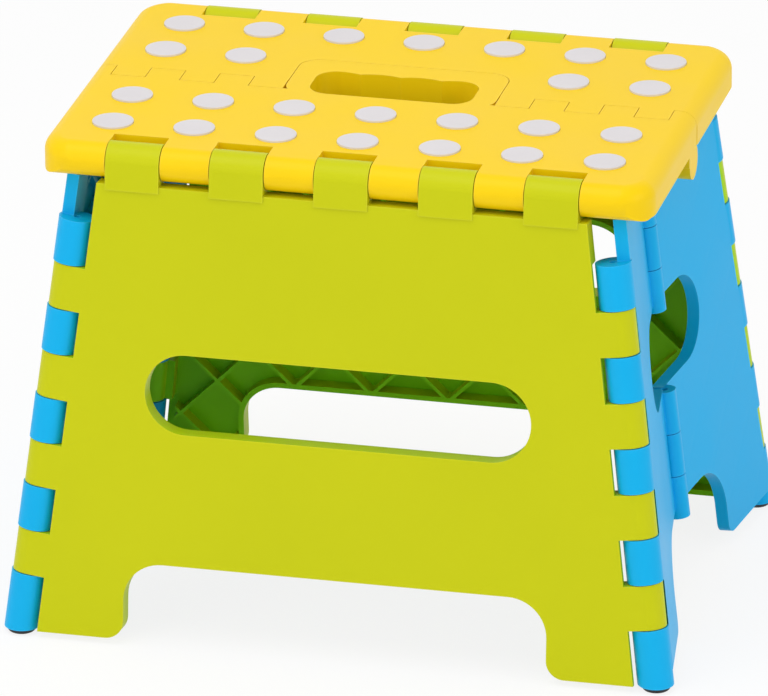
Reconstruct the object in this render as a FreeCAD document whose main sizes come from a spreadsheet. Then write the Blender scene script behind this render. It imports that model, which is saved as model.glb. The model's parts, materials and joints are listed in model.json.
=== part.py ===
import FreeCAD, Part
import math
import os

# Fold-flat step stool: two seat halves, two leg panels and four end panel halves on pinned hinges.
# Frame: +X along the seat, -Y to the front, +Z up, origin on the floor under the middle of the seat.
# All sizes in millimetres and degrees, for the stool standing open.

doc = FreeCAD.newDocument("fold_flat_step_stool")
sheet = doc.addObject("Spreadsheet::Sheet", "sizes")

DRIVING_SIZES = {
    # seat
    "seat_height": 220.0,
    "seat_length": 264.6,
    "seat_depth": 15.0,
    "seat_skin": 3.0,
    "seat_wall": 3.0,
    "cut_margin": 10.0,
    "seat_corner": 16.0,
    "seat_edge_round": 7.0,
    "hinge_reach": 83.0,
    "seat_barrel": 7.7,
    "pocket_gap": 2.0,
    # knuckles of the leg panels in the long edges of the seat
    "top_knuckle_radius": 8.0,
    "top_knuckle_width": 23.3,
    "top_knuckle_pitch": 45.3,
    # middle joint of the seat
    "centre_drop": 20.3,
    "centre_barrel": 7.7,
    "finger_overlap": 5.5,
    "end_finger": 9.95,
    # handle
    "tongue_half_width": 46.0,
    "tongue_reach": 31.4,
    "tongue_corner": 9.0,
    "tongue_depth": 13.0,
    "handle_half_length": 35.8,
    "handle_front": 7.9,
    "handle_back": 19.4,
    "handle_corner": 9.0,
    "lobe_radius": 25.0,
    # grip dots
    "dot_radius": 8.8,
    "dot_pitch": 35.6,
    "dot_outer_row": 60.2,
    "dot_inner_row": 28.1,
    "dot_inset": 1.4,
    "dot_height": 2.2,
    # leg panels
    "splay": 5.3,
    "leg_face": 7.3,
    "leg_inner": 1.3,
    "leg_skin": 2.5,
    "leg_wall": 2.5,
    "leg_half_width": 105.0,
    "leg_slant": 6.9,
    "leg_top_gap": 9.0,
    "leg_floor_gap": 2.3,
    "leg_slot_half_length": 84.0,
    "leg_slot_height": 35.3,
    "leg_slot_centre": 99.5,
    "leg_arch_half_width": 92.5,
    "leg_arch_rise": 34.9,
    "leg_arch_corner": 17.0,
    "leg_foot_corner": 8.0,
    # slanted corner hinges
    "edge_axis": 112.9,
    "edge_slant": 7.0,
    "edge_top_gap": 31.8,
    "foot_length": 27.8,
    "edge_barrel": 7.8,
    # end panels
    "end_thickness": 5.6,
    "end_skin": 2.4,
    "end_wall": 2.2,
    "end_face_at_edge": 7.5,
    "end_face_at_middle": -0.6,
    "end_inset": 8.6,
    "end_corner_drop": 17.0,
    "end_middle_drop": 32.0,
    "end_shoulder": 22.0,
    "end_top_flat": 12.0,
    "end_rib_pitch": 28.0,
    "end_bottom": 5.3,
    "end_slot_centre": 117.1,
    "end_slot_height": 38.8,
    "end_slot_reach": 47.3,
    "end_arch_top": 43.0,
    "end_arch_reach": 53.3,
    "end_arch_corner": 23.0,
    "end_foot_corner": 5.0,
    "middle_barrel": 5.0,
    "middle_pitch": 19.6,
    "middle_low_start": 36.0,
    "middle_top_gap": 30.2,
    # feet, pins, ribs and clearances
    "pad_radius": 6.2,
    "pad_thickness": 2.6,
    "pad_round": 1.8,
    "stud_radius": 2.5,
    "stud_length": 4.0,
    "pin_radius": 1.5,
    "pin_clearance": 0.09,
    "pin_end_cover": 2.5,
    "pin_end_gap": 0.5,
    "centre_pin_cover": 5.0,
    "top_pin_cover": 12.5,
    "rib_pitch": 35.0,
    "rib_width": 1.6,
    "light_gap": 2.0,
    "side_gap": 0.35,
    "turn_gap": 0.6,
}

TOP_KNUCKLES = 5
EDGE_KNUCKLES = 4
CENTRE_FINGERS = 6
HANDLE_LOBES = 4
DOT_COLUMNS = 7

for row, (alias, value) in enumerate(DRIVING_SIZES.items(), start=1):
    sheet.set(f"A{row}", alias)
    sheet.set(f"B{row}", str(value))
    sheet.setAlias(f"B{row}", alias)
doc.recompute()

FAR = 400.0                      # longer than the stool: cutters reach right through with it
X_AXIS = FreeCAD.Vector(1, 0, 0)
Y_AXIS = FreeCAD.Vector(0, 1, 0)
Z_AXIS = FreeCAD.Vector(0, 0, 1)


def size(alias):
    return float(sheet.get(alias))


def cell(text):
    """Put the sheet's name before every alias of an expression."""
    words = text.replace("(", " ( ").replace(")", " ) ").split()
    named = " ".join("sizes." + word if word in DRIVING_SIZES else word for word in words)
    for function in ("sin", "cos", "tan"):
        named = named.replace(function + " (", function + "(")
    return named


def place(item, at, axis=None, angle="0"):
    if axis is not None:
        item.Placement = FreeCAD.Placement(FreeCAD.Vector(), FreeCAD.Rotation(axis, 1.0))
        item.setExpression("Placement.Rotation.Angle", cell(angle))
    for direction, text in zip("xyz", at):
        item.setExpression(f"Placement.Base.{direction}", cell(text))


def box(name, length, width, height, at, axis=None, angle="0"):
    item = doc.addObject("Part::Box", name)
    item.setExpression("Length", cell(length))
    item.setExpression("Width", cell(width))
    item.setExpression("Height", cell(height))
    place(item, at, axis, angle)
    return item


def cylinder(name, radius, height, at, axis=None, angle="0"):
    item = doc.addObject("Part::Cylinder", name)
    item.setExpression("Radius", cell(radius))
    item.setExpression("Height", cell(height))
    place(item, at, axis, angle)
    return item


def rod(name, radius, start, end, y, z):
    """Cylinder along X from start to end."""
    return cylinder(name, radius, f"{end} - ( {start} )", (start, y, z), Y_AXIS, "90")


def fuse(name, items):
    joined = doc.addObject("Part::MultiFuse", name)
    joined.Shapes = items
    return joined


def cut(name, base, tools):
    result = doc.addObject("Part::Cut", name)
    result.Base = base
    result.Tool = fuse(name + "_cutters", tools) if len(tools) > 1 else tools[0]
    return result


def common(name, first, second):
    result = doc.addObject("Part::Common", name)
    result.Base = first
    result.Tool = second
    return result


def group(name, items):
    together = doc.addObject("Part::Compound", name)
    together.Links = items
    return together


def mirrored(name, source, normal):
    image = doc.addObject("Part::Mirroring", name)
    image.Source = source
    image.Base = FreeCAD.Vector()
    image.Normal = normal
    return image


def bothSides(name, source):
    """The item and its mirror image across the middle of the stool."""
    return [source, mirrored(name + "_mirror", source, X_AXIS)]


HINGE_HEIGHT = "( seat_height - seat_barrel )"
BORE = "( pin_radius + pin_clearance )"


# Seat halves

def roundedPlan(name, halfLength, front, back, corner, low, height, squareBack=False):
    """Upright block with rounded corners in plan; back corners stay square where asked."""
    inner = f"( {halfLength} - {corner} )"
    depth = f"{back} - ( {front} )"
    pieces = [
        box(name + "_long", f"2 * {inner}", depth, height, (f"0 - {inner}", front, low)),
    ]
    wideDepth = f"{depth} - {corner}" if squareBack else f"{depth} - 2 * {corner}"
    wideFront = f"{front} + {corner}"
    pieces.append(box(name + "_wide", f"2 * {halfLength}", wideDepth, height,
                      (f"0 - {halfLength}", wideFront, low)))
    rows = [wideFront] if squareBack else [wideFront, f"{back} - {corner}"]
    for rowNumber, rowY in enumerate(rows):
        for side in (-1, 1):
            pieces.append(cylinder(f"{name}_corner_{rowNumber}_{side + 1}", corner, height,
                                   (f"{side} * {inner}", rowY, low)))
    return fuse(name, pieces)


def latticeRibs(name, across, down, spacing, width, centre, upright):
    """Two crossing sets of diagonal ribs, as long thin boxes through a lattice of points."""
    count = int(math.ceil((across + down) / size("rib_pitch") / 2)) + 1
    sets = []
    for lean in (-1, 1):
        ribs = []
        for number in range(-count, count + 1):
            offset = f"{number} * {spacing}"
            reach = FAR / 2 * math.sqrt(0.5)
            if upright:
                at = (f"{offset} - {lean} * {reach}", centre[1], f"{centre[2]} - {reach}")
                rib = box(f"{name}_{lean + 1}_{number + count}", width, centre[3], str(FAR),
                          at, Y_AXIS, str(45 * lean))
            else:
                at = (f"{offset} + {lean} * {reach}", f"{centre[1]} - {reach}", centre[2])
                rib = box(f"{name}_{lean + 1}_{number + count}", width, str(FAR), centre[3],
                          at, Z_AXIS, str(45 * lean))
            ribs.append(rib)
        sets.append(group(f"{name}_set_{lean + 1}", ribs))
    return sets


def fingerRange(number):
    """Start and end of a centre finger, from the handle tongue outwards."""
    pitch = f"( ( seat_length / 2 - tongue_half_width - side_gap - end_finger ) / {CENTRE_FINGERS - 1} )"
    start = f"( tongue_half_width + side_gap + {number} * {pitch} )"
    if number == CENTRE_FINGERS - 1:
        return start, "( seat_length / 2 )"
    return start, f"( tongue_half_width + side_gap + {number + 1} * {pitch} )"


def roundTop(name, block, backEdge):
    """The block with its upper edge rounded, except along its square back."""
    plain = doc.addObject("Part::Refine", name + "_plain")
    plain.Source = block
    doc.recompute()
    radius = size("seat_edge_round")
    top = size("seat_height")
    chosen = []
    for number, edge in enumerate(plain.Shape.Edges, start=1):
        atTop = all(abs(corner.Point.z - top) < 1e-6 for corner in edge.Vertexes)
        atBack = abs(edge.CenterOfMass.y - backEdge) < 1e-6
        if atTop and not atBack:
            chosen.append((number, radius, radius))
    rounded = doc.addObject("Part::Fillet", name)
    rounded.Base = plain
    rounded.Edges = chosen
    return rounded


def seatHalf(name, ownsTongue):
    """One seat half, drawn on the front side of the middle joint."""
    underside = "( seat_height - seat_depth )"
    axisHeight = "( seat_height - centre_drop )"
    block = roundedPlan(name + "_plan", "( seat_length / 2 )", "( 0 - hinge_reach - seat_barrel )",
                        "( tongue_reach + cut_margin )", "seat_corner", axisHeight + " - cut_margin",
                        "centre_drop + cut_margin", squareBack=True)
    outline = roundTop(name + "_outline", block, size("tongue_reach") + size("cut_margin"))
    seam = "( 0 - finger_overlap )"
    slab = box(name + "_slab", "seat_length", f"hinge_reach + {seam}", "seat_depth",
               ("0 - seat_length / 2", "0 - hinge_reach", underside))
    barrel = rod(name + "_barrel", "seat_barrel", "( 0 - seat_length / 2 )", "seat_length / 2",
                 "0 - hinge_reach", HINGE_HEIGHT)
    cavityBack = f"( {seam} - seat_wall - side_gap )"
    cavityFront = "( 0 - hinge_reach + seat_barrel + pocket_gap + seat_wall )"
    cavity = box(name + "_cavity", "seat_length - 2 * seat_wall", f"{cavityBack} - {cavityFront}",
                 "seat_depth - seat_skin + 1",
                 ("0 - seat_length / 2 + seat_wall", cavityFront, f"{underside} - 1"))
    shell = cut(name + "_shell", fuse(name + "_blank", [slab, barrel]), [cavity])
    ribSets = latticeRibs(name + "_rib", size("seat_length"), size("hinge_reach"), "rib_pitch", "rib_width",
                          ("0", f"( {cavityFront} + {cavityBack} ) / 2", underside, "seat_depth - seat_skin / 2"),
                          upright=False)
    ribs = [common(f"{name}_ribs_{number}", ribSet, cavity) for number, ribSet in enumerate(ribSets)]

    solids = [shell] + ribs
    cutters = []
    for number in range(CENTRE_FINGERS):
        start, end = fingerRange(number)
        mine = (number % 2 == 1) == ownsTongue
        gap = "side_gap / 2"
        if mine:
            knuckle = rod(f"{name}_lug_{number}", "centre_barrel", f"( {start} + {gap} )",
                          f"( {end} - {gap} )", "0", axisHeight)
            block = box(f"{name}_finger_{number}", f"{end} - {start} - 2 * {gap}",
                        "2 * finger_overlap + seat_wall + side_gap", "centre_drop",
                        (f"{start} + {gap}", f"{seam} - seat_wall - side_gap", axisHeight))
            solids += bothSides(f"{name}_lug_{number}", knuckle)
            solids += bothSides(f"{name}_finger_{number}", block)
        else:
            pocket = box(f"{name}_pocket_{number}", f"{end} - {start} + 2 * {gap}", str(FAR), str(FAR),
                         (f"{start} - {gap}", f"{seam} - side_gap", axisHeight))
            round_ = rod(f"{name}_round_{number}", "centre_barrel + turn_gap", f"( {start} - {gap} )",
                         f"( {end} + {gap} )", "0", axisHeight)
            cutters += bothSides(f"{name}_pocket_{number}", pocket)
            cutters += bothSides(f"{name}_round_{number}", round_)

    if ownsTongue:
        tongueLow = "( seat_height - tongue_depth )"
        front = f"( {seam} - seat_wall - side_gap )"
        solids.append(roundedPlan(name + "_tongue", "tongue_half_width", front, "tongue_reach",
                                  "tongue_corner", tongueLow, "tongue_depth"))
        rim = roundedPlan(name + "_rim", "( handle_half_length + seat_wall )",
                          "( 0 - handle_front - seat_wall )", "( handle_back + seat_wall )",
                          "( handle_corner + seat_wall )", tongueLow, "tongue_depth")
        solids.append(rim)
        hollow = roundedPlan(name + "_hollow", "( tongue_half_width - seat_wall )",
                             f"( {front} - 1 )", "( tongue_reach - seat_wall )",
                             "( tongue_corner - seat_wall )", f"{tongueLow} - 1",
                             "tongue_depth - seat_skin + 1")
        cutters.append(cut(name + "_hollow_round_rim", hollow, [rim]))
        cutters.append(handleSlot(name))
    else:
        recess = roundedPlan(name + "_recess", "( tongue_half_width + side_gap )",
                             "( 0 - tongue_reach - side_gap )", "tongue_reach",
                             "( tongue_corner + side_gap )", f"{axisHeight} - cut_margin",
                             "centre_drop + 2 * cut_margin")
        wall = roundedPlan(name + "_recess_wall", "( tongue_half_width + side_gap + seat_wall )",
                           "( 0 - tongue_reach - side_gap - seat_wall )", seam,
                           "( tongue_corner + side_gap + seat_wall )", underside, "seat_depth",
                           squareBack=True)
        solids.append(wall)
        cutters.append(recess)

    for number in range(TOP_KNUCKLES):
        middle = f"( {number - TOP_KNUCKLES // 2} * top_knuckle_pitch )"
        half = "( top_knuckle_width / 2 + side_gap )"
        cutters.append(box(f"{name}_notch_{number}", f"2 * {half}",
                           "2 * seat_barrel + pocket_gap + cut_margin", str(FAR),
                           (f"{middle} - {half}", "0 - hinge_reach - seat_barrel - cut_margin",
                            underside + " - cut_margin")))
    boreEnd = "( seat_length / 2 - top_pin_cover + pin_end_cover )"
    cutters.append(rod(name + "_bore", BORE, f"( 0 - {boreEnd} )", boreEnd, "0 - hinge_reach", HINGE_HEIGHT))
    bore = rod(name + "_centre_bore", BORE, "( tongue_half_width - centre_pin_cover )",
               "seat_length / 2 - pin_end_cover", "0", axisHeight)
    cutters += bothSides(name + "_centre_bore", bore)
    for number, (x, y) in enumerate(dotPlaces(ownsTongue)):
        cutters.append(cylinder(f"{name}_dot_{number}", "dot_radius + side_gap / 4", "dot_inset + 1",
                                (x, y, "seat_height - dot_inset")))
    rough = cut(name + "_rough", fuse(name + "_solids", solids), cutters)
    return common(name, rough, outline)


def handleSlot(name):
    """Carrying slot with shallow finger lobes in its rear edge."""
    low = "( seat_height - tongue_depth - cut_margin )"
    tall = "( tongue_depth + 2 * cut_margin )"
    window = roundedPlan(name + "_slot", "handle_half_length", "( 0 - handle_front )", "handle_back",
                         "handle_corner", low, tall)
    pitch = f"( 2 * handle_half_length / {HANDLE_LOBES} )"
    sagitta = f"( {pitch} ^ 2 / lobe_radius / 8 )"
    lobes = [box(name + "_slot_front", "2 * handle_half_length",
                 f"handle_front + handle_back - {sagitta}", tall,
                 ("0 - handle_half_length", "0 - handle_front", low))]
    for number in range(HANDLE_LOBES):
        middle = f"( {number - (HANDLE_LOBES - 1) / 2} * {pitch} )"
        disc = cylinder(f"{name}_lobe_{number}", "lobe_radius", tall, (middle, "handle_back - lobe_radius", low))
        strip = box(f"{name}_lobe_strip_{number}", pitch, "lobe_radius", tall,
                    (f"{middle} - {pitch} / 2", "handle_back - lobe_radius", low))
        lobes.append(common(f"{name}_lobe_cut_{number}", disc, strip))
    return common(name + "_slot_cut", window, fuse(name + "_lobes", lobes))


def dotPlaces(ownsTongue):
    """Centres of the grip dots, drawn on the front side of the middle joint."""
    places = []
    for column in range(DOT_COLUMNS):
        number = column - DOT_COLUMNS // 2
        x = f"{number} * dot_pitch"
        places.append((x, "0 - dot_outer_row"))
        if ownsTongue or abs(number) > 1:
            places.append((x, "0 - dot_inner_row"))
    return places


def gripDots(name, ownsTongue):
    discs = [cylinder(f"{name}_{number}", "dot_radius", "dot_height", (x, y, "seat_height - dot_inset"))
             for number, (x, y) in enumerate(dotPlaces(ownsTongue))]
    return group(name, discs)


# Leg panels, drawn flat with the origin on the seat hinge line, the outside facing -Y

LEG_LENGTH = f"( ( {HINGE_HEIGHT} - leg_floor_gap ) / cos ( splay ) )"
AXIS_LENGTH = f"( {HINGE_HEIGHT} / cos ( splay ) / cos ( edge_slant ) )"
EDGE_PITCH = f"( ( seat_height - edge_top_gap - foot_length ) / {2 * EDGE_KNUCKLES} )"


def trapezoid(name, top, bottom, inset, back, front):
    """Plate with slanted sides between two heights below the hinge line."""
    item = doc.addObject("Part::Wedge", name)
    for prop, low, sign in (("Xmin", bottom, "0 -"), ("Xmax", bottom, ""), ("X2min", top, "0 -"),
                            ("X2max", top, "")):
        half = f"( leg_half_width + {low} * tan ( leg_slant ) - {inset} )"
        item.setExpression(prop, cell(f"{sign} {half}"))
    item.setExpression("Ymin", cell(f"0 - {bottom}"))
    item.setExpression("Ymax", cell(f"0 - {top}"))
    for prop, text in (("Zmin", back), ("Z2min", back), ("Zmax", front), ("Z2max", front)):
        item.setExpression(prop, cell(text))
    item.Placement = FreeCAD.Placement(FreeCAD.Vector(), FreeCAD.Rotation(X_AXIS, 90))
    return item


def legSlot(name, grow, back, depth):
    half = f"( leg_slot_height / 2 + {grow} )"
    reach = "( leg_slot_half_length - leg_slot_height / 2 )"
    middle = box(name + "_middle", f"2 * {reach}", depth, f"2 * {half}",
                 (f"0 - {reach}", back, f"0 - leg_slot_centre - {half}"))
    ends = [cylinder(f"{name}_end_{side + 1}", half, depth,
                     (f"{side} * {reach}", f"{back} + {depth}", "0 - leg_slot_centre"), X_AXIS, "90")
            for side in (-1, 1)]
    return fuse(name, [middle] + ends)


def legArch(name, grow, bottom, back, depth):
    half = f"( leg_arch_half_width + {grow} )"
    corner = f"( leg_arch_corner + {grow} )"
    top = f"( {LEG_LENGTH} - leg_arch_rise - {grow} )"
    pieces = [
        box(name + "_tall", f"2 * ( {half} - {corner} )", depth, f"{bottom} - {top}",
            (f"0 - {half} + {corner}", back, f"0 - {bottom}")),
        box(name + "_wide", f"2 * {half}", depth, f"{bottom} - {top} - {corner}",
            (f"0 - {half}", back, f"0 - {bottom}")),
    ]
    for side in (-1, 1):
        pieces.append(cylinder(f"{name}_corner_{side + 1}", corner, depth,
                               (f"{side} * ( {half} - {corner} )", f"{back} + {depth}",
                                f"0 - {top} - {corner}"), X_AXIS, "90"))
    return fuse(name, pieces)


def footRound(name):
    """What comes off the inner bottom corner of the right foot of a leg panel."""
    corner = "leg_foot_corner"
    block = box(name + "_block", corner, str(FAR), f"{corner} + cut_margin",
                ("leg_arch_half_width", f"0 - {FAR / 2}", f"0 - {LEG_LENGTH} - cut_margin"))
    keep = cylinder(name + "_keep", corner, str(FAR),
                    (f"leg_arch_half_width + {corner}", str(FAR / 2), f"0 - {LEG_LENGTH} + {corner}"),
                    X_AXIS, "90")
    return cut(name, block, [keep])


def onEdge(up, inward, back):
    """Point of the right corner hinge line, a distance up from the floor end of the line."""
    along = f"( {AXIS_LENGTH} - ( {up} ) )"
    x = f"edge_axis + {along} * sin ( edge_slant ) - ( {inward} ) * cos ( edge_slant )"
    z = f"0 - {along} * cos ( edge_slant ) - ( {inward} ) * sin ( edge_slant )"
    return x, back, z


def edgeRod(name, radius, start, end):
    return cylinder(name, radius, f"{end} - ( {start} )", onEdge(start, "0", "0"), Y_AXIS,
                    "0 - edge_slant")


def edgeStart(number):
    """Where each hinge knuckle starts, number 0 being the first one above the foot."""
    return f"( foot_length + {number} * {EDGE_PITCH} )"


def knuckleRoom(name, start, end):
    """Room in a leg panel for a knuckle of the end panel: round, and open behind the outer skin."""
    relief = edgeRod(name, "edge_barrel + turn_gap", start, end)
    inward = "( edge_axis - leg_half_width + leg_wall + light_gap )"
    behind = box(name + "_light", inward, "leg_face + leg_inner", f"{end} - {start}",
                 onEdge(start, inward, "leg_skin - leg_face"), Y_AXIS, "0 - edge_slant")
    return bothSides(name, fuse(name + "_room", [relief, behind]))


def legPanel(name):
    blank = trapezoid(name + "_blank", "leg_top_gap", LEG_LENGTH, "0", "0 - leg_inner", "leg_face")
    cavity = trapezoid(name + "_cavity", "( leg_top_gap + leg_wall )", f"( {LEG_LENGTH} - leg_wall )",
                       "leg_wall", "0 - leg_inner - 1", "leg_face - leg_skin")
    shell = cut(name + "_shell", blank, [cavity])
    depth = "( leg_face + leg_inner )"
    ribSets = latticeRibs(name + "_rib", 2 * size("leg_half_width"), size("seat_height"), "rib_pitch",
                          "rib_width", ("0", "0 - leg_face + leg_skin / 2", f"0 - {LEG_LENGTH} / 2",
                                        "( leg_face + leg_inner - leg_skin / 2 )"), upright=True)
    ribs = [common(f"{name}_ribs_{number}", ribSet, cavity) for number, ribSet in enumerate(ribSets)]
    solids = [shell] + ribs
    solids.append(legSlot(name + "_slot_rim", "leg_wall", "( 0 - leg_face )", depth))
    solids.append(legArch(name + "_arch_rim", "leg_wall", LEG_LENGTH, "( 0 - leg_face )", depth))
    cutters = [
        legSlot(name + "_slot", "0", f"( 0 - {FAR / 2} )", str(FAR)),
        legArch(name + "_arch", "0", f"( {LEG_LENGTH} + cut_margin )", f"( 0 - {FAR / 2} )", str(FAR)),
    ]
    cutters += bothSides(name + "_foot_round", footRound(name + "_foot_round"))

    for number in range(TOP_KNUCKLES):
        middle = f"( {number - TOP_KNUCKLES // 2} * top_knuckle_pitch )"
        half = "( top_knuckle_width / 2 )"
        solids.append(rod(f"{name}_knuckle_{number}", "top_knuckle_radius", f"( {middle} - {half} )",
                          f"{middle} + {half}", "0", "0"))
        solids.append(box(f"{name}_neck_{number}", f"2 * {half}", "top_knuckle_radius + leg_inner",
                          "leg_top_gap + leg_wall",
                          (f"{middle} - {half}", "0 - top_knuckle_radius", "0 - leg_top_gap - leg_wall")))
    cutters.append(rod(name + "_bore", BORE, f"( 0 - {FAR / 2} )", str(FAR / 2), "0", "0"))

    gap = "side_gap / 2"
    neck = "( edge_axis - leg_half_width + leg_wall )"
    for number in range(2 * EDGE_KNUCKLES):
        start = edgeStart(number)
        end = edgeStart(number + 1)
        if number % 2 == 0:
            knuckle = edgeRod(f"{name}_edge_{number}", "leg_face", f"( {start} + {gap} )",
                              f"( {end} - {gap} )")
            web = box(f"{name}_web_{number}", neck, depth, f"{EDGE_PITCH} - 2 * {gap}",
                      onEdge(f"{start} + {gap}", neck, "0 - leg_face"), Y_AXIS, "0 - edge_slant")
            solids += bothSides(f"{name}_edge_{number}", fuse(f"{name}_edge_set_{number}", [knuckle, web]))
        else:
            cutters += knuckleRoom(f"{name}_relief_{number}", f"( {start} - {gap} )", f"( {end} + {gap} )")
    cutters += knuckleRoom(f"{name}_relief_foot", "( 0 - cut_margin )", f"( {edgeStart(0)} + {gap} )")
    edgeBore = edgeRod(f"{name}_edge_bore", BORE, "0", AXIS_LENGTH)
    cutters += bothSides(f"{name}_edge_bore", edgeBore)
    panel = cut(name, fuse(name + "_solids", solids), cutters)
    place(panel, ("0", "0 - hinge_reach", HINGE_HEIGHT), X_AXIS, "0 - splay")
    return panel


# Right corner hinge line, middle hinge line and plate of an end panel half, in the stool's frame

class EndFrame:
    """Directions and lines of the right front end panel half, worked out from the sizes."""

    def __init__(self):
        splay = math.radians(size("splay"))
        slant = math.radians(size("edge_slant"))
        hinge = size("seat_height") - size("seat_barrel")
        top = FreeCAD.Vector(size("edge_axis"), -size("hinge_reach"), hinge)
        self.edge = FreeCAD.Vector(math.sin(slant), -math.cos(slant) * math.sin(splay),
                                   -math.cos(slant) * math.cos(splay))
        reach = size("hinge_reach") / -self.edge.y
        self.apex = top - self.edge * reach
        floorX = self.apex.x - self.edge.x / self.edge.z * self.apex.z
        middleX = floorX - size("end_inset")
        self.middle = FreeCAD.Vector(middleX - self.apex.x, 0, -self.apex.z).normalize()
        self.down = (self.edge + self.middle).normalize()
        outward = self.middle.cross(self.edge).normalize()
        if outward.x < 0:
            outward = outward * -1
        across = (self.middle - self.edge).normalize()
        self.floor = self.apex.z / -self.down.z
        halfAngle = self.edge.getAngle(self.middle) / 2
        meanReach = self.floor - size("seat_height") / 2
        spread = (size("end_face_at_edge") - size("end_face_at_middle")) / 2
        self.tilt = math.asin(spread / meanReach / math.sin(halfAngle))
        self.normal = outward * math.cos(self.tilt) + across * math.sin(self.tilt)
        self.across = across * math.cos(self.tilt) - outward * math.sin(self.tilt)
        self.offset = (size("end_face_at_edge") + size("end_face_at_middle")) / 2
        self.halfSlope = math.tan(halfAngle) * math.cos(self.tilt)
        knuckles = size("seat_height") - size("edge_top_gap") - size("foot_length")
        self.edgePitch = knuckles / (2 * EDGE_KNUCKLES)

    def edgePoint(self, up):
        """Point of the corner hinge line, a distance up from the floor."""
        return self.apex + self.edge * (self.apex.z / -self.edge.z - up)

    def middlePoint(self, up):
        return self.apex + self.middle * (self.apex.z / -self.middle.z - up)

    def width(self, height):
        return 2 * (self.floor - height) * self.halfSlope

    def facePoint(self, fromMiddle, height, depth=0.0):
        """Point of the plate by its distance from the middle line and its height."""
        reach = self.floor - height
        across = reach * self.halfSlope - fromMiddle
        return (self.apex + self.down * reach + self.across * across
                + self.normal * (self.offset - depth))

    def slab(self, corners, depth, thickness):
        wire = Part.makePolygon([self.facePoint(a, q, depth) for a, q in corners + corners[:1]])
        return Part.Face(wire).extrude(self.normal * -thickness)

    def through(self, corners):
        """Cutter that reaches through the plate from well outside it to well inside."""
        return self.slab(corners, -2 * size("cut_margin"), 4 * size("cut_margin"))

    def disc(self, fromMiddle, height, radius):
        base = self.facePoint(fromMiddle, height, -FAR / 8)
        return Part.makeCylinder(radius, FAR / 4, base, self.normal * -1)


def endSlot(frame, grow):
    """Half of the end slot: it is open at the middle line and round at its far end."""
    half = size("end_slot_height") / 2 + grow
    centre = size("end_slot_centre")
    straight = size("end_slot_reach") - size("end_slot_height") / 2
    out = -size("cut_margin")
    corners = [(out, centre - half), (straight, centre - half), (straight, centre + half), (out, centre + half)]
    return frame.through(corners).fuse(frame.disc(straight, centre, half))


def endArch(frame, grow):
    """Half of the end arch, from the middle line to the inner side of the leg."""
    top = size("end_arch_top") + grow
    reach = size("end_arch_reach") + grow
    corner = size("end_arch_corner") + grow
    out = -size("cut_margin")
    tall = frame.through([(out, out), (reach - corner, out), (reach - corner, top), (out, top)])
    wide = frame.through([(out, out), (reach, out), (reach, top - corner), (out, top - corner)])
    return tall.multiFuse([wide, frame.disc(reach - corner, top - corner, corner)])


def endFootRound(frame):
    """What comes off the inner bottom corner of the leg."""
    corner = size("end_foot_corner")
    reach = size("end_arch_reach")
    bottom = size("end_bottom")
    out = bottom - size("cut_margin")
    block = frame.through([(reach - 1, out), (reach + corner, out), (reach + corner, bottom + corner),
                           (reach - 1, bottom + corner)])
    return block.cut(frame.disc(reach + corner, bottom + corner, corner))


def endLattice(frame):
    """Diagonal ribs on the inside of the plate."""
    pitch = size("end_rib_pitch")
    half = size("rib_width") / 2 * math.sqrt(2)
    skin = size("end_skin")
    low = -size("cut_margin")
    high = size("seat_height")
    rise = high - low
    depth = size("end_thickness") - skin / 2
    count = int(math.ceil((rise + frame.width(0)) / pitch))
    ribs = []
    for lean in (-1, 1):
        for number in range(-count, count + 1):
            base = number * pitch
            corners = [(base - half, low), (base + half, low), (base + half + lean * rise, high),
                       (base - half + lean * rise, high)]
            ribs.append(frame.slab(corners, skin / 2, depth))
    return ribs


def middleStarts():
    """Where the lower and the upper group of knuckles of a middle hinge start."""
    return size("middle_low_start"), size("seat_height") - size("middle_top_gap") - 3 * size("middle_pitch")


def knuckleRanges(start):
    """The three knuckles of one group of the middle hinge."""
    pitch = size("middle_pitch")
    return [(start + number * pitch, start + (number + 1) * pitch) for number in range(3)]


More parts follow.
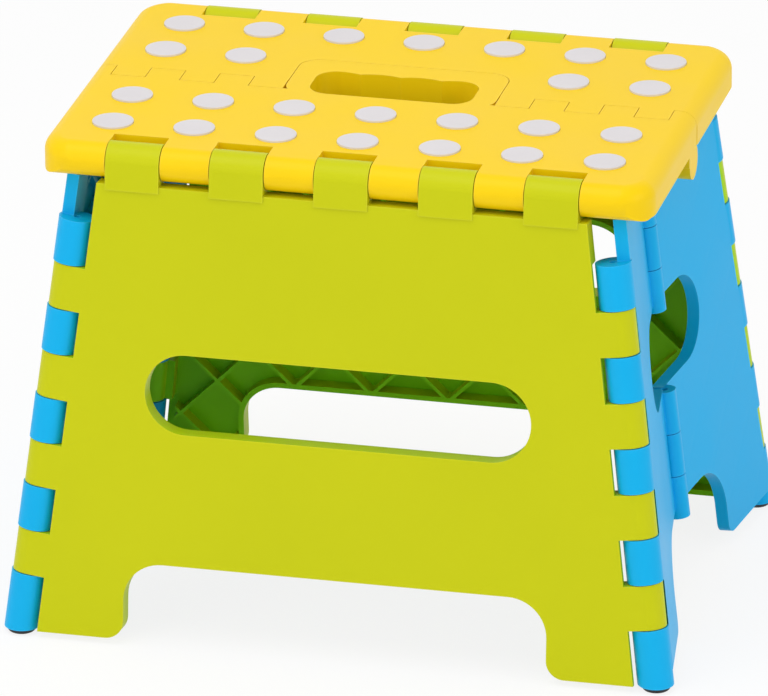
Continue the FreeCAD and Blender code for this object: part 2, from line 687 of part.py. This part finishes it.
def endHalf(frame, ownsOuter):
    """Right front end panel half; the rear one is its mirror image with the other knuckles."""
    thickness = size("end_thickness")
    wall = size("end_wall")
    bottom = size("end_bottom")
    gap = size("side_gap") / 2
    cornerTop = size("seat_height") - size("end_corner_drop")
    middleTop = size("seat_height") - size("end_middle_drop")
    middleEdge = 2 * gap
    shoulder = size("end_shoulder")
    flat = size("end_top_flat")

    def outline(inset):
        return [(middleEdge + inset, bottom + inset),
                (frame.width(bottom) - inset, bottom + inset),
                (frame.width(cornerTop) - inset, cornerTop - inset),
                (frame.width(cornerTop) - inset - shoulder, cornerTop - inset),
                (middleEdge + inset + flat, middleTop - inset),
                (middleEdge + inset, middleTop - inset)]

    plate = frame.slab(outline(0), 0, thickness)
    cavity = frame.slab(outline(wall), size("end_skin"), thickness)
    margin = size("edge_barrel") + wall
    safe = frame.slab([(margin - 2, bottom), (frame.width(bottom) - margin, bottom),
                       (frame.width(cornerTop) - margin, cornerTop),
                       (margin - 2, cornerTop)], size("end_skin"), thickness)
    cavity = cavity.common(safe).cut(endSlot(frame, wall)).cut(endArch(frame, wall))
    hollowed = plate.cut(cavity)
    ribs = [rib.common(cavity) for rib in endLattice(frame)]
    ribs = [rib for rib in ribs if rib.Solids]
    body = hollowed.multiFuse(ribs)
    body = body.cut(endSlot(frame, 0)).cut(endArch(frame, 0)).cut(endFootRound(frame))

    edgeUp = frame.edge * -1
    edgeRadius = size("edge_barrel")
    foot = size("foot_length")
    pitch = frame.edgePitch
    legRadius = size("leg_face") + size("turn_gap")
    padTop = size("pad_thickness")
    notches = []
    barrels = []
    for number in range(2 * EDGE_KNUCKLES):
        start = foot + number * pitch
        if number % 2 == 0:
            notches.append(Part.makeCylinder(legRadius, pitch + 2 * gap, frame.edgePoint(start - gap), edgeUp))
        else:
            barrels.append(Part.makeCylinder(edgeRadius, pitch - 2 * gap, frame.edgePoint(start + gap), edgeUp))
    below = size("cut_margin")
    footBarrel = Part.makeCylinder(edgeRadius, foot - gap + below, frame.edgePoint(-below), edgeUp)
    floorBlock = Part.makeBox(2 * FAR, 2 * FAR, FAR, FreeCAD.Vector(-FAR, -FAR, padTop - FAR))
    barrels.append(footBarrel.cut(floorBlock))

    middleUp = frame.middle * -1
    middleRadius = size("middle_barrel")
    clear = middleRadius + size("turn_gap")
    for group_ in middleStarts():
        for number, (start, end) in enumerate(knuckleRanges(group_)):
            mine = (number != 1) == ownsOuter
            if mine:
                barrels.append(Part.makeCylinder(middleRadius, end - start - 2 * gap,
                                                 frame.middlePoint(start + gap), middleUp))
            else:
                notches.append(Part.makeCylinder(clear, end - start + 2 * gap,
                                                 frame.middlePoint(start - gap), middleUp))
    body = body.cut(notches).cut(floorBlock).multiFuse(barrels)

    bore = size("pin_radius") + size("pin_clearance")
    edgeLow = size("pad_thickness") + size("stud_length") + 2 * size("pin_end_cover")
    edgeBore = Part.makeCylinder(bore, FAR, frame.edgePoint(edgeLow), edgeUp)
    middleBore = Part.makeCylinder(bore, FAR, frame.middlePoint(0), middleUp)
    socket = Part.makeCylinder(size("stud_radius"), padTop + size("stud_length"), frame.edgePoint(0))
    return body.cut([edgeBore, middleBore, socket]).removeSplitter()


def endFeature(name, shape):
    feature = doc.addObject("Part::Feature", name)
    feature.Shape = shape
    return feature


# Pads, pins and groups of pins

def footPad(frame):
    """Rubber pad with a rounded lower edge and a stud that plugs into the foot."""
    place_ = frame.edgePoint(0)
    pad = Part.makeCylinder(size("pad_radius"), size("pad_thickness"), place_)
    lowEdges = [edge for edge in pad.Edges if edge.Closed and abs(edge.CenterOfMass.z) < 1e-6]
    pad = pad.makeFillet(size("pad_round"), lowEdges)
    stud = Part.makeCylinder(size("stud_radius"), size("stud_length"),
                             place_ + FreeCAD.Vector(0, 0, size("pad_thickness")))
    return pad.fuse(stud).removeSplitter()


def middlePins(frame):
    """Short pins in the outer knuckles of both groups of a middle hinge."""
    pins = []
    cover = size("pin_end_cover")
    for start in middleStarts():
        for number, (low, high) in enumerate(knuckleRanges(start)):
            if number == 1:
                continue
            pins.append(Part.makeCylinder(size("pin_radius"), high - low - 2 * cover,
                                          frame.middlePoint(low + cover), frame.middle * -1))
    return pins


def edgePin(frame):
    low = size("pad_thickness") + size("stud_length") + 2 * size("pin_end_cover") + size("pin_end_gap")
    high = size("foot_length") + 2 * EDGE_KNUCKLES * frame.edgePitch - size("pin_end_cover")
    return Part.makeCylinder(size("pin_radius"), high - low, frame.edgePoint(low), frame.edge * -1)


nodes = {}
nodes["top_front_half"] = seatHalf("top_front_half", ownsTongue=True)
rearSeat = seatHalf("rear_seat", ownsTongue=False)
nodes["top_rear_half"] = mirrored("top_rear_half", rearSeat, Y_AXIS)
nodes["grip_dots_front"] = gripDots("grip_dots_front", ownsTongue=True)
rearDots = gripDots("rear_dots", ownsTongue=False)
nodes["grip_dots_rear"] = mirrored("grip_dots_rear", rearDots, Y_AXIS)
nodes["front_leg_panel"] = legPanel("front_leg_panel")
nodes["rear_leg_panel"] = mirrored("rear_leg_panel", nodes["front_leg_panel"], Y_AXIS)

pinEnd = "( seat_length / 2 - top_pin_cover )"
nodes["front_top_hinge_pin"] = rod("front_top_hinge_pin", "pin_radius", f"( 0 - {pinEnd} )", pinEnd,
                                   "0 - hinge_reach", HINGE_HEIGHT)
nodes["rear_top_hinge_pin"] = rod("rear_top_hinge_pin", "pin_radius", f"( 0 - {pinEnd} )", pinEnd,
                                  "hinge_reach", HINGE_HEIGHT)
rightCentrePin = rod("centre_hinge_pin_right", "pin_radius", "( tongue_half_width + 2 * side_gap )",
                     "( seat_length / 2 - 2 * pin_end_cover )", "0", "seat_height - centre_drop")
nodes["centre_hinge_pin_right"] = rightCentrePin
nodes["centre_hinge_pin_left"] = mirrored("centre_hinge_pin_left", rightCentrePin, X_AXIS)

frame = EndFrame()
halves = {"front": endHalf(frame, ownsOuter=True), "rear": endHalf(frame, ownsOuter=False)}
pad = footPad(frame)
pin = edgePin(frame)
for side in ("right", "left"):
    for end in ("front", "rear"):
        pieces = {
            f"{side}_end_{end}_half": halves[end],
            f"foot_pad_{side}_{end}": pad,
            f"{side}_{end}_edge_pin": pin,
        }
        for name, shape in pieces.items():
            if end == "rear":
                shape = shape.mirror(FreeCAD.Vector(), Y_AXIS)
            if side == "left":
                shape = shape.mirror(FreeCAD.Vector(), X_AXIS)
            nodes[name] = endFeature(name, shape)
    pins = Part.makeCompound(middlePins(frame))
    if side == "left":
        pins = pins.mirror(FreeCAD.Vector(), X_AXIS)
    nodes[f"{side}_middle_pins"] = endFeature(f"{side}_middle_pins", pins)

doc.recompute()
for name, node in nodes.items():
    node.Label = name
broken = [item.Label for item in doc.Objects if "Invalid" in item.State or "Error" in item.State]
for name, node in nodes.items():
    if node.Shape.isNull() or not node.Shape.isValid():
        broken.append(name)
if broken:
    raise RuntimeError("objects that failed: " + ", ".join(broken))

os.makedirs("parts", exist_ok=True)
for name, node in nodes.items():
    shape = node.Shape
    print(name, "solids", len(shape.Solids), "volume", round(shape.Volume, 1))
    shape.exportStep(f"parts/{name}.step")
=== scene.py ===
import bpy, bmesh, json, math
from mathutils import Matrix, Vector

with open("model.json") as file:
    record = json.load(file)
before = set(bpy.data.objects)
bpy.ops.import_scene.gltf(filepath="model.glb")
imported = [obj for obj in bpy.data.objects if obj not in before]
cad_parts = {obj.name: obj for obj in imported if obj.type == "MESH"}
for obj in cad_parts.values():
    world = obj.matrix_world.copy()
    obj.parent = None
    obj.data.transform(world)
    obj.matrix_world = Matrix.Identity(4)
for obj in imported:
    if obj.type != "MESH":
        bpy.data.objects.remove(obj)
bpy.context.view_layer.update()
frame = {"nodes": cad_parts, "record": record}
scene = bpy.context.scene
scene.view_settings.view_transform = "Standard"


# Small helpers for node trees

def feed(tree, socket, value):
    # another node's socket is linked, anything else is the socket's constant
    if isinstance(value, bpy.types.NodeSocket):
        tree.links.new(value, socket)
    else:
        socket.default_value = value


def addNode(tree, kind, inputs=None, **settings):
    node = tree.nodes.new(kind)
    for key, value in settings.items():
        setattr(node, key, value)
    for key, value in (inputs or {}).items():
        feed(tree, node.inputs[key], value)
    return node


def calculate(tree, operation, first, second=0.0, clamp=False):
    node = addNode(tree, "ShaderNodeMath", {0: first, 1: second}, operation=operation, use_clamp=clamp)
    return node.outputs[0]


def carryOver(tree, value, given=(0.0, 1.0), wanted=(0.0, 1.0), **settings):
    # the value's place between the two given numbers, carried over to the two wanted ones
    ends = {"From Min": given[0], "From Max": given[1], "To Min": wanted[0], "To Max": wanted[1]}
    return addNode(tree, "ShaderNodeMapRange", {"Value": value, **ends}, **settings).outputs[0]


def mixColors(tree, share, first, second):
    node = addNode(tree, "ShaderNodeMix", {"Factor": share, "A": first, "B": second}, data_type="RGBA")
    return node.outputs["Result"]


def noise(tree, scale, detail, **inputs):
    node = addNode(tree, "ShaderNodeTexNoise", {"Scale": scale, "Detail": detail, **inputs})
    return node.outputs["Fac"]


def newMaterial(name, **constants):
    material = bpy.data.materials.new(name)
    material.use_nodes = True
    tree = material.node_tree
    shader = tree.nodes["Principled BSDF"]
    for label, value in constants.items():
        shader.inputs[label].default_value = value
    return material, tree, shader


def newGroup(name, inputs, outputs):
    tree = bpy.data.node_groups.new(name, "ShaderNodeTree")
    for label, value in inputs.items():
        socket = tree.interface.new_socket(label, in_out="INPUT", socket_type="NodeSocketFloat")
        socket.default_value = value
    for label in outputs:
        tree.interface.new_socket(label, in_out="OUTPUT", socket_type="NodeSocketFloat")
    return tree, tree.nodes.new("NodeGroupInput"), tree.nodes.new("NodeGroupOutput")


def useGroup(tree, group, **inputs):
    return addNode(tree, "ShaderNodeGroup", inputs, node_tree=group)


# Camera, standing where the photograph was taken from
view = {
    "position": (1.066316, -4.364507, 1.942685),
    "azimuth": 13.777,      # degrees round to the right end
    "elevation": 22.277,
    "roll": -0.338,
    "lens": 528.6,
    "sensorWidth": 36,
    "farthest": 50,
}


def setCamera(values):
    azimuth = math.radians(values["azimuth"])
    elevation = math.radians(values["elevation"])
    roll = math.radians(values["roll"])
    level = math.cos(elevation)
    forward = Vector((-math.sin(azimuth) * level, math.cos(azimuth) * level, -math.sin(elevation)))
    right = Vector((math.cos(azimuth), math.sin(azimuth), 0))
    up = right.cross(forward)
    turnedRight = right * math.cos(roll) + up * math.sin(roll)
    turnedUp = up * math.cos(roll) - right * math.sin(roll)
    turn = Matrix((turnedRight, turnedUp, -forward)).transposed().to_4x4()
    data = bpy.data.cameras.new("photoCamera")
    data.lens = values["lens"]
    data.sensor_width = values["sensorWidth"]
    data.clip_end = values["farthest"]
    camera = bpy.data.objects.new("photoCamera", data)
    camera.matrix_world = Matrix.Translation(values["position"]) @ turn
    scene.collection.objects.link(camera)
    scene.camera = camera


setCamera(view)
print("camera set")


# Stage: a pale floor, a white room and soft lamps
floorLook = {
    "halfWidth": 4.0,
    "color": (0.96, 0.96, 0.96, 1),
    "grainScale": 6.0,
    "grainDetail": 2.0,
    "tint": (0.985, 1.0),
    "roughness": 0.9,
    "glow": 0.85,           # how much of the floor that the camera sees is plain white
}
ambient = 0.66
black = (0, 0, 0, 1)
white = (1, 1, 1, 1)
lampAim = (0, 0, 0.1)
lamps = {
    "topSoft": {"position": (-0.35, -0.55, 1.9), "width": 1.6, "power": 13.0},
    "frontSoft": {"position": (-1.3, -2.2, 1.1), "width": 1.6, "power": 8.5},
    "rightSoft": {"position": (2.0, -0.6, 0.9), "width": 1.2, "power": 7.5},
}


def seenPlain(tree):
    # one for the rays that show the backdrop itself, straight, mirrored or through something clear
    path = addNode(tree, "ShaderNodeLightPath")
    direct = calculate(tree, "MAXIMUM", path.outputs["Is Camera Ray"], path.outputs["Is Transmission Ray"])
    return calculate(tree, "MAXIMUM", direct, path.outputs["Is Glossy Ray"])


def makeFloor(values):
    mesh = bpy.data.meshes.new("floor")
    form = bmesh.new()
    bmesh.ops.create_grid(form, x_segments=1, y_segments=1, size=values["halfWidth"])
    form.to_mesh(mesh)
    form.free()
    floor = bpy.data.objects.new("floor", mesh)
    scene.collection.objects.link(floor)
    constants = {"Roughness": values["roughness"], "Specular IOR Level": 0.0}
    material, tree, shader = newMaterial("paleFloor", **constants)
    tint = carryOver(tree, noise(tree, values["grainScale"], values["grainDetail"]), wanted=values["tint"])
    feed(tree, shader.inputs["Base Color"], mixColors(tree, tint, black, values["color"]))
    glow = addNode(tree, "ShaderNodeEmission", {"Color": white, "Strength": 1.0})
    share = calculate(tree, "MULTIPLY", seenPlain(tree), values["glow"])
    blend = addNode(tree, "ShaderNodeMixShader", {0: share, 1: shader.outputs[0], 2: glow.outputs[0]})
    feed(tree, tree.nodes["Material Output"].inputs["Surface"], blend.outputs[0])
    mesh.materials.append(material)


def makeRoom(strength):
    world = bpy.data.worlds.new("softRoom")
    scene.world = world
    world.use_nodes = True
    tree = world.node_tree
    background = tree.nodes["Background"]
    background.inputs["Color"].default_value = white
    feed(tree, background.inputs["Strength"], carryOver(tree, seenPlain(tree), wanted=(strength, 1.0)))


def makeLamp(name, position, width, power):
    data = bpy.data.lights.new(name, "AREA")
    data.shape = "DISK"
    data.size = width
    data.energy = power
    lamp = bpy.data.objects.new(name, data)
    lamp.location = position
    lamp.rotation_euler = (Vector(lampAim) - Vector(position)).to_track_quat("-Z", "Y").to_euler()
    scene.collection.objects.link(lamp)


makeFloor(floorLook)
makeRoom(ambient)
for name, values in lamps.items():
    makeLamp(name, **values)
print("stage and lamps set")


# Shared effects, each with its own defaults in metres or in waves to the metre
fineDetail = 3.0
broadDetail = 2.0
# contrast of the painted edge highlight mask
highlightContrast = 5.0


def makeMouldGrain():
    tree, given, out = newGroup("mouldGrain", {"Fineness": 900.0, "Blotches": 14.0}, ["Height", "Mask"])
    place = addNode(tree, "ShaderNodeTexCoord").outputs["Object"]
    feed(tree, out.inputs["Height"], noise(tree, given.outputs["Fineness"], fineDetail, Vector=place))
    feed(tree, out.inputs["Mask"], noise(tree, given.outputs["Blotches"], broadDetail, Vector=place))
    return tree


# painted highlight: a lighter colour along the rounded edges, where they catch the light
def makeEdgeHighlight():
    tree, given, out = newGroup("edgeHighlight", {"Width": 0.0012, "Breakup": 60.0}, ["Mask"])
    soft = addNode(tree, "ShaderNodeBevel", {"Radius": given.outputs["Width"]}, samples=4)
    plain = addNode(tree, "ShaderNodeNewGeometry")
    facing = addNode(tree, "ShaderNodeVectorMath", {0: soft.outputs[0], 1: plain.outputs["True Normal"]},
                     operation="DOT_PRODUCT")
    turned = calculate(tree, "SUBTRACT", 1.0, facing.outputs["Value"])
    place = addNode(tree, "ShaderNodeTexCoord").outputs["Object"]
    breakup = noise(tree, given.outputs["Breakup"], fineDetail, Vector=place)
    uneven = calculate(tree, "MULTIPLY", turned, breakup)
    feed(tree, out.inputs["Mask"], calculate(tree, "MULTIPLY", uneven, highlightContrast, clamp=True))
    return tree


def makeSinkMarks():
    # faint hollows in the outer skin, over the diamond ribs behind it
    defaults = {"Pitch": 0.035, "Width": 0.0034, "Across": 0.0, "Up": 0.0}
    tree, given, out = newGroup("sinkMarks", defaults, ["Hollow"])
    marks = []
    for sign in ("ADD", "SUBTRACT"):
        lean = calculate(tree, sign, given.outputs["Across"], given.outputs["Up"])
        steps = calculate(tree, "DIVIDE", lean, given.outputs["Pitch"])
        nearest = calculate(tree, "ROUND", steps)
        away = calculate(tree, "ABSOLUTE", calculate(tree, "SUBTRACT", steps, nearest))
        distance = calculate(tree, "MULTIPLY", away, given.outputs["Pitch"])
        share = calculate(tree, "DIVIDE", distance, given.outputs["Width"])
        marks.append(carryOver(tree, share, wanted=(1.0, 0.0), interpolation_type="SMOOTHSTEP"))
    feed(tree, out.inputs["Hollow"], calculate(tree, "MAXIMUM", marks[0], marks[1]))
    return tree


mouldGrain = makeMouldGrain()
edgeHighlight = makeEdgeHighlight()
sinkMarks = makeSinkMarks()
blotchContrast = (0.3, 0.7)     # the noise values that stand for the least and the most


# Moulded plastics: seat yellow, leg green, end blue
# the third colour of each plastic is a painted highlight for its rounded edges
plastics = {
    "seat_plastic": {
        "color": (0.95, 0.655, 0.002, 1), "deep": (0.91, 0.60, 0.001, 1), "highlightColor": (1.0, 0.80, 0.16, 1),
        "rough": (0.34, 0.44),
        "sink": 0.0, "across": "X", "up": "Y", "middle": 0.0,
    },
    "leg_plastic": {
        "color": (0.60, 0.615, 0.003, 1), "deep": (0.56, 0.585, 0.002, 1), "highlightColor": (0.74, 0.74, 0.08, 1),
        # painted shade: a darker, greener tint for the inner faces, standing in for shade and blue light
        # bounced off the end plates
        "inside": (0.28, 0.74, 0.002, 1),
        "rough": (0.36, 0.46),
        "sink": 0.35, "across": "X", "up": "Z", "middle": 0.107,
    },
    "end_plastic": {
        "color": (0.003, 0.46, 0.86, 1), "deep": (0.002, 0.42, 0.81, 1), "highlightColor": (0.12, 0.62, 0.95, 1),
        "rough": (0.34, 0.44),
        "sink": 0.25, "across": "Y", "up": "Z", "middle": 0.0,
    },
}
plasticSkin = {
    "grain": {"Fineness": 1400.0, "Blotches": 16.0},
    "paintedHighlight": {"Width": 0.0011, "Breakup": 90.0},
    # how strongly the painted edge highlight shows
    "highlightShare": 0.35,
    "grainShare": 0.25,
    "bump": {"Strength": 0.6, "Distance": 0.00012},
    "constants": {"IOR": 1.49, "Specular IOR Level": 0.16},
    "insideFacing": (0.2, -0.6),        # from facing out to facing the middle of the stool, where the painted shade lies
    "insideHeights": (0.202, 0.192),    # the painted greener shade ends just below the top hinge
}


# how much painted shade a point gets: faces turned toward the middle of the stool, below the top hinge
def paintedShadeShare(tree, place, parts):
    facing = addNode(tree, "ShaderNodeSeparateXYZ", {0: place.outputs["Normal"]})
    outward = calculate(tree, "MULTIPLY", calculate(tree, "SIGN", parts.outputs["Y"]), facing.outputs["Y"])
    within = carryOver(tree, outward, plasticSkin["insideFacing"])
    below = carryOver(tree, parts.outputs["Z"], plasticSkin["insideHeights"])
    return calculate(tree, "MULTIPLY", within, below)


def mouldedPlastic(name, values):
    material, tree, shader = newMaterial(name, **plasticSkin["constants"])
    grain = useGroup(tree, mouldGrain, **plasticSkin["grain"])
    paintedHighlight = useGroup(tree, edgeHighlight, **plasticSkin["paintedHighlight"])
    drift = mixColors(tree, grain.outputs["Mask"], values["deep"], values["color"])
    # painted highlight: the edges are lightened toward the highlight colour
    highlighting = calculate(tree, "MULTIPLY", paintedHighlight.outputs["Mask"], plasticSkin["highlightShare"])
    color = mixColors(tree, highlighting, drift, values["highlightColor"])
    rough = carryOver(tree, grain.outputs["Mask"], blotchContrast, values["rough"])
    feed(tree, shader.inputs["Roughness"], rough)
    place = addNode(tree, "ShaderNodeTexCoord")
    parts = addNode(tree, "ShaderNodeSeparateXYZ", {0: place.outputs["Object"]})
    # painted shade: the inner faces of the leg panels are turned darker and greener
    if "inside" in values:
        color = mixColors(tree, paintedShadeShare(tree, place, parts), color, values["inside"])
    feed(tree, shader.inputs["Base Color"], color)
    up = calculate(tree, "SUBTRACT", parts.outputs[values["up"]], values["middle"])
    sink = useGroup(tree, sinkMarks, Across=parts.outputs[values["across"]], Up=up)
    hollow = calculate(tree, "MULTIPLY", sink.outputs["Hollow"], -values["sink"])
    grainHeight = calculate(tree, "MULTIPLY", grain.outputs["Height"], plasticSkin["grainShare"])
    height = calculate(tree, "ADD", hollow, grainHeight)
    bump = addNode(tree, "ShaderNodeBump", {"Height": height, **plasticSkin["bump"]})
    feed(tree, shader.inputs["Normal"], bump.outputs[0])
    return material


# Rubber of the grip dots and the foot pads
rubbers = {
    "grip_rubber": {
        "color": (0.74, 0.71, 0.72, 1), "deep": (0.66, 0.63, 0.645, 1),
        "rough": (0.50, 0.62),
    },
    "foot_rubber": {
        "color": (0.022, 0.022, 0.024, 1), "deep": (0.012, 0.012, 0.013, 1),
        "rough": (0.55, 0.75),
    },
}
rubberSkin = {
    "grain": {"Fineness": 2200.0, "Blotches": 40.0},
    "bump": {"Strength": 0.5, "Distance": 0.00008},
}


def softRubber(name, values):
    material, tree, shader = newMaterial(name)
    grain = useGroup(tree, mouldGrain, **rubberSkin["grain"])
    color = mixColors(tree, grain.outputs["Mask"], values["deep"], values["color"])
    feed(tree, shader.inputs["Base Color"], color)
    rough = carryOver(tree, grain.outputs["Mask"], blotchContrast, values["rough"])
    feed(tree, shader.inputs["Roughness"], rough)
    bump = addNode(tree, "ShaderNodeBump", {"Height": grain.outputs["Height"], **rubberSkin["bump"]})
    feed(tree, shader.inputs["Normal"], bump.outputs[0])
    return material


# Steel of the hinge pins, with streaks along X
steels = {
    "pin_steel": {
        "color": (0.56, 0.57, 0.58, 1), "deep": (0.38, 0.38, 0.39, 1),
        "rough": (0.22, 0.4),
        "streaks": (40.0, 900.0, 900.0),
    },
}


def drawnSteel(name, values):
    material, tree, shader = newMaterial(name, Metallic=1.0)
    place = addNode(tree, "ShaderNodeTexCoord").outputs["Object"]
    stretch = addNode(tree, "ShaderNodeMapping", {"Vector": place, "Scale": values["streaks"]})
    streaks = noise(tree, 1.0, fineDetail, Vector=stretch.outputs[0])
    feed(tree, shader.inputs["Base Color"], mixColors(tree, streaks, values["deep"], values["color"]))
    feed(tree, shader.inputs["Roughness"], carryOver(tree, streaks, wanted=values["rough"]))
    return material


finishes = {}
for make, family in ((mouldedPlastic, plastics), (softRubber, rubbers), (drawnSteel, steels)):
    for name, values in family.items():
        finishes[name] = make(name, values)
print("materials made:", len(finishes))


# Moulded parts get soft edges: width and segments for each finish
softEdges = {
    "seat_plastic": {"width": 0.0012, "segments": 3},
    "leg_plastic": {"width": 0.0010, "segments": 3},
    "end_plastic": {"width": 0.0008, "segments": 3},
    "grip_rubber": {"width": 0.0005, "segments": 2},
    "pin_steel": {"width": 0.0002, "segments": 1},
}
weldDistance = 0.000002
sharpestSmooth = math.radians(38)
faceWeight = 100


def softenEdges(piece, width, segments):
    weld = piece.modifiers.new("weld", "WELD")
    weld.merge_threshold = weldDistance
    bevel = piece.modifiers.new("softEdges", "BEVEL")
    bevel.width = width
    bevel.segments = segments
    bevel.limit_method = "ANGLE"
    bevel.angle_limit = sharpestSmooth
    bevel.miter_outer = "MITER_ARC"
    even = piece.modifiers.new("evenShading", "WEIGHTED_NORMAL")
    even.weight = faceWeight


def dressNodes():
    for row in frame["record"]["subparts"]:
        piece = frame["nodes"][row["node"]]
        slotName = row["material_slot"]
        for materialSlot in piece.material_slots:
            materialSlot.link = "OBJECT"
            materialSlot.material = finishes[slotName]
        if slotName in softEdges:
            softenEdges(piece, **softEdges[slotName])


dressNodes()
print("nodes dressed")
